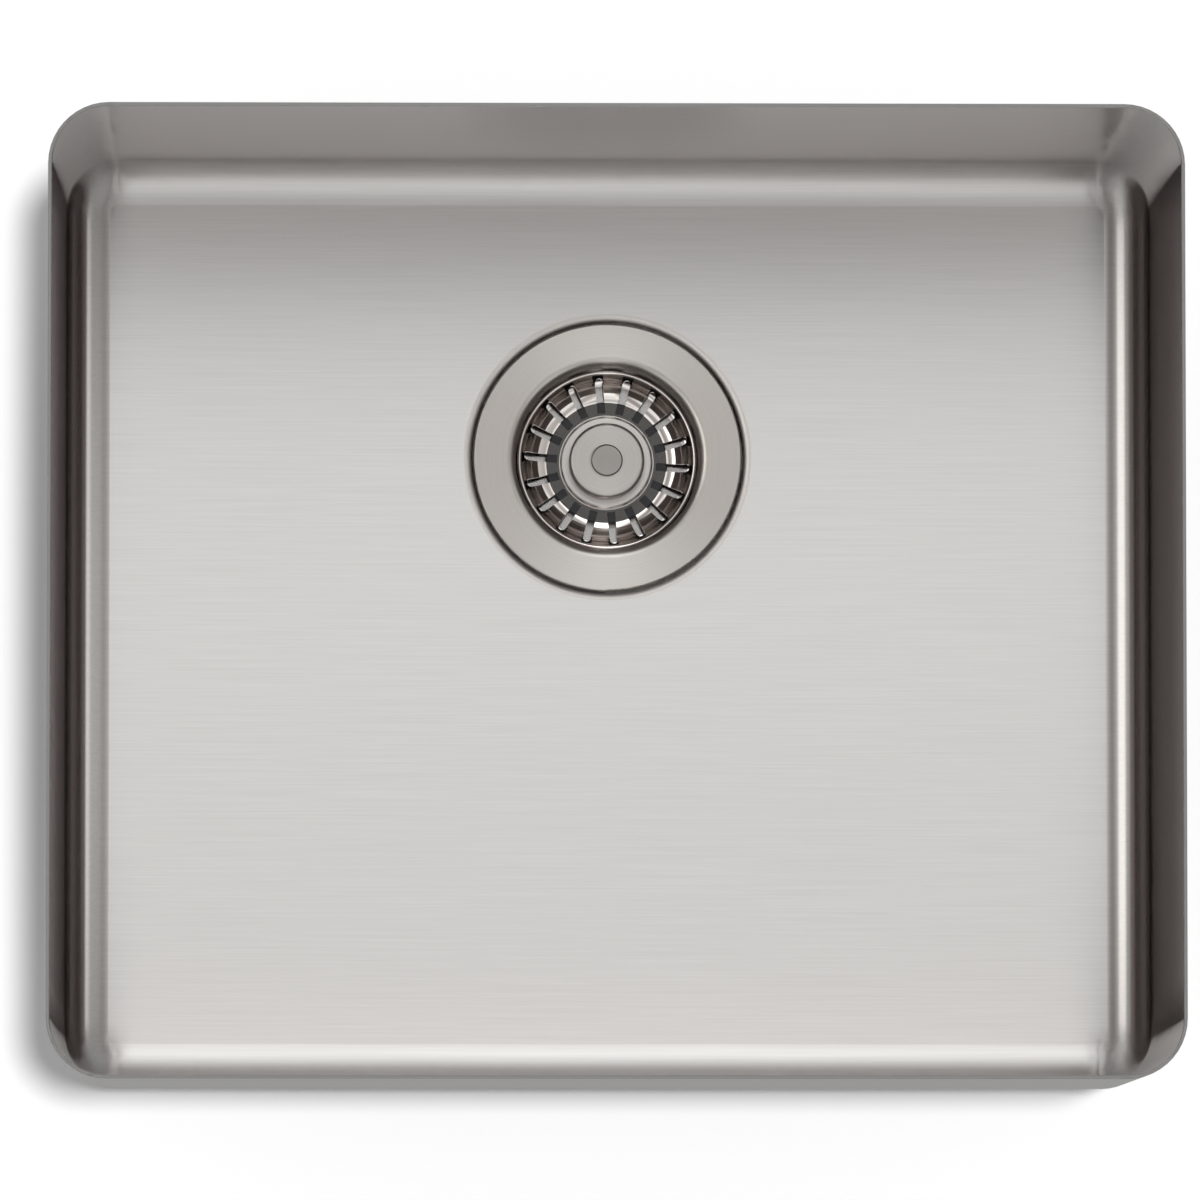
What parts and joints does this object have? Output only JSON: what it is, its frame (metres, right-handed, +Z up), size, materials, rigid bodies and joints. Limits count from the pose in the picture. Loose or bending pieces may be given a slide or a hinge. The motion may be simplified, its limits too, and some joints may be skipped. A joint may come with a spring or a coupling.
{
  "type": "undermount kitchen sink",
  "caption": "Single rectangular steel bowl that hangs under a worktop, with brushed faces, rounded corners and a lift-out basket strainer waste behind the middle of its floor.",
  "frame": {"origin": "centre of the bowl's opening, in the plane of the rim's top edge, where the worktop's underside lies", "axes": "+Z up out of the bowl, +X along its long side, to the right of the person who stands at it, +Y from that person towards the wall"},
  "size_m": [0.469, 0.4, 0.2835],
  "materials": {
    "bowl_steel": "brushed along the bowl, polished by the press at its corners",
    "dish_steel": "turned and brushed",
    "basket_steel": "polished",
    "knob_steel": "satin",
    "fixing_steel": "plain turned",
    "seal_rubber": "matt black moulding",
    "gasket_rubber": "matt black moulding",
    "pad_rubber": "matt grey sheet",
    "body_plastic": "white polypropylene moulding",
    "bush_plastic": "natural acetal",
    "insert_brass": "turned"
  },
  "bodies": {
    "sink": {"bowl_shell": "bowl_steel", "floor_pad": "pad_rubber", "left_wall_pad": "pad_rubber", "right_wall_pad": "pad_rubber", "strainer_dish": "dish_steel", "flange_gasket": "gasket_rubber", "body_gasket": "gasket_rubber", "waste_body": "body_plastic", "screw_insert": "insert_brass", "screw_washer": "fixing_steel", "clamp_screw": "fixing_steel"},
    "grip": {"grip_bush": "bush_plastic", "grip_ring": "fixing_steel"},
    "basket": {"basket_cup": "basket_steel", "basket_seal": "seal_rubber", "seal_plate": "fixing_steel", "knob_base": "basket_steel", "knob": "knob_steel", "knob_screw": "knob_steel", "socket": "fixing_steel", "bush_clip": "fixing_steel"}
  },
  "joints": [
    {"name": "basket_lift", "type": "slide", "parent": "sink", "child": "grip", "axis": [0, 0, 1], "range_m": [0, 0.26]},
    {"name": "basket_turn", "type": "hinge", "parent": "grip", "child": "basket", "pos_m": [0, 0.071, -0.229], "axis": [0, 0, 1], "continuous": true}
  ]
}
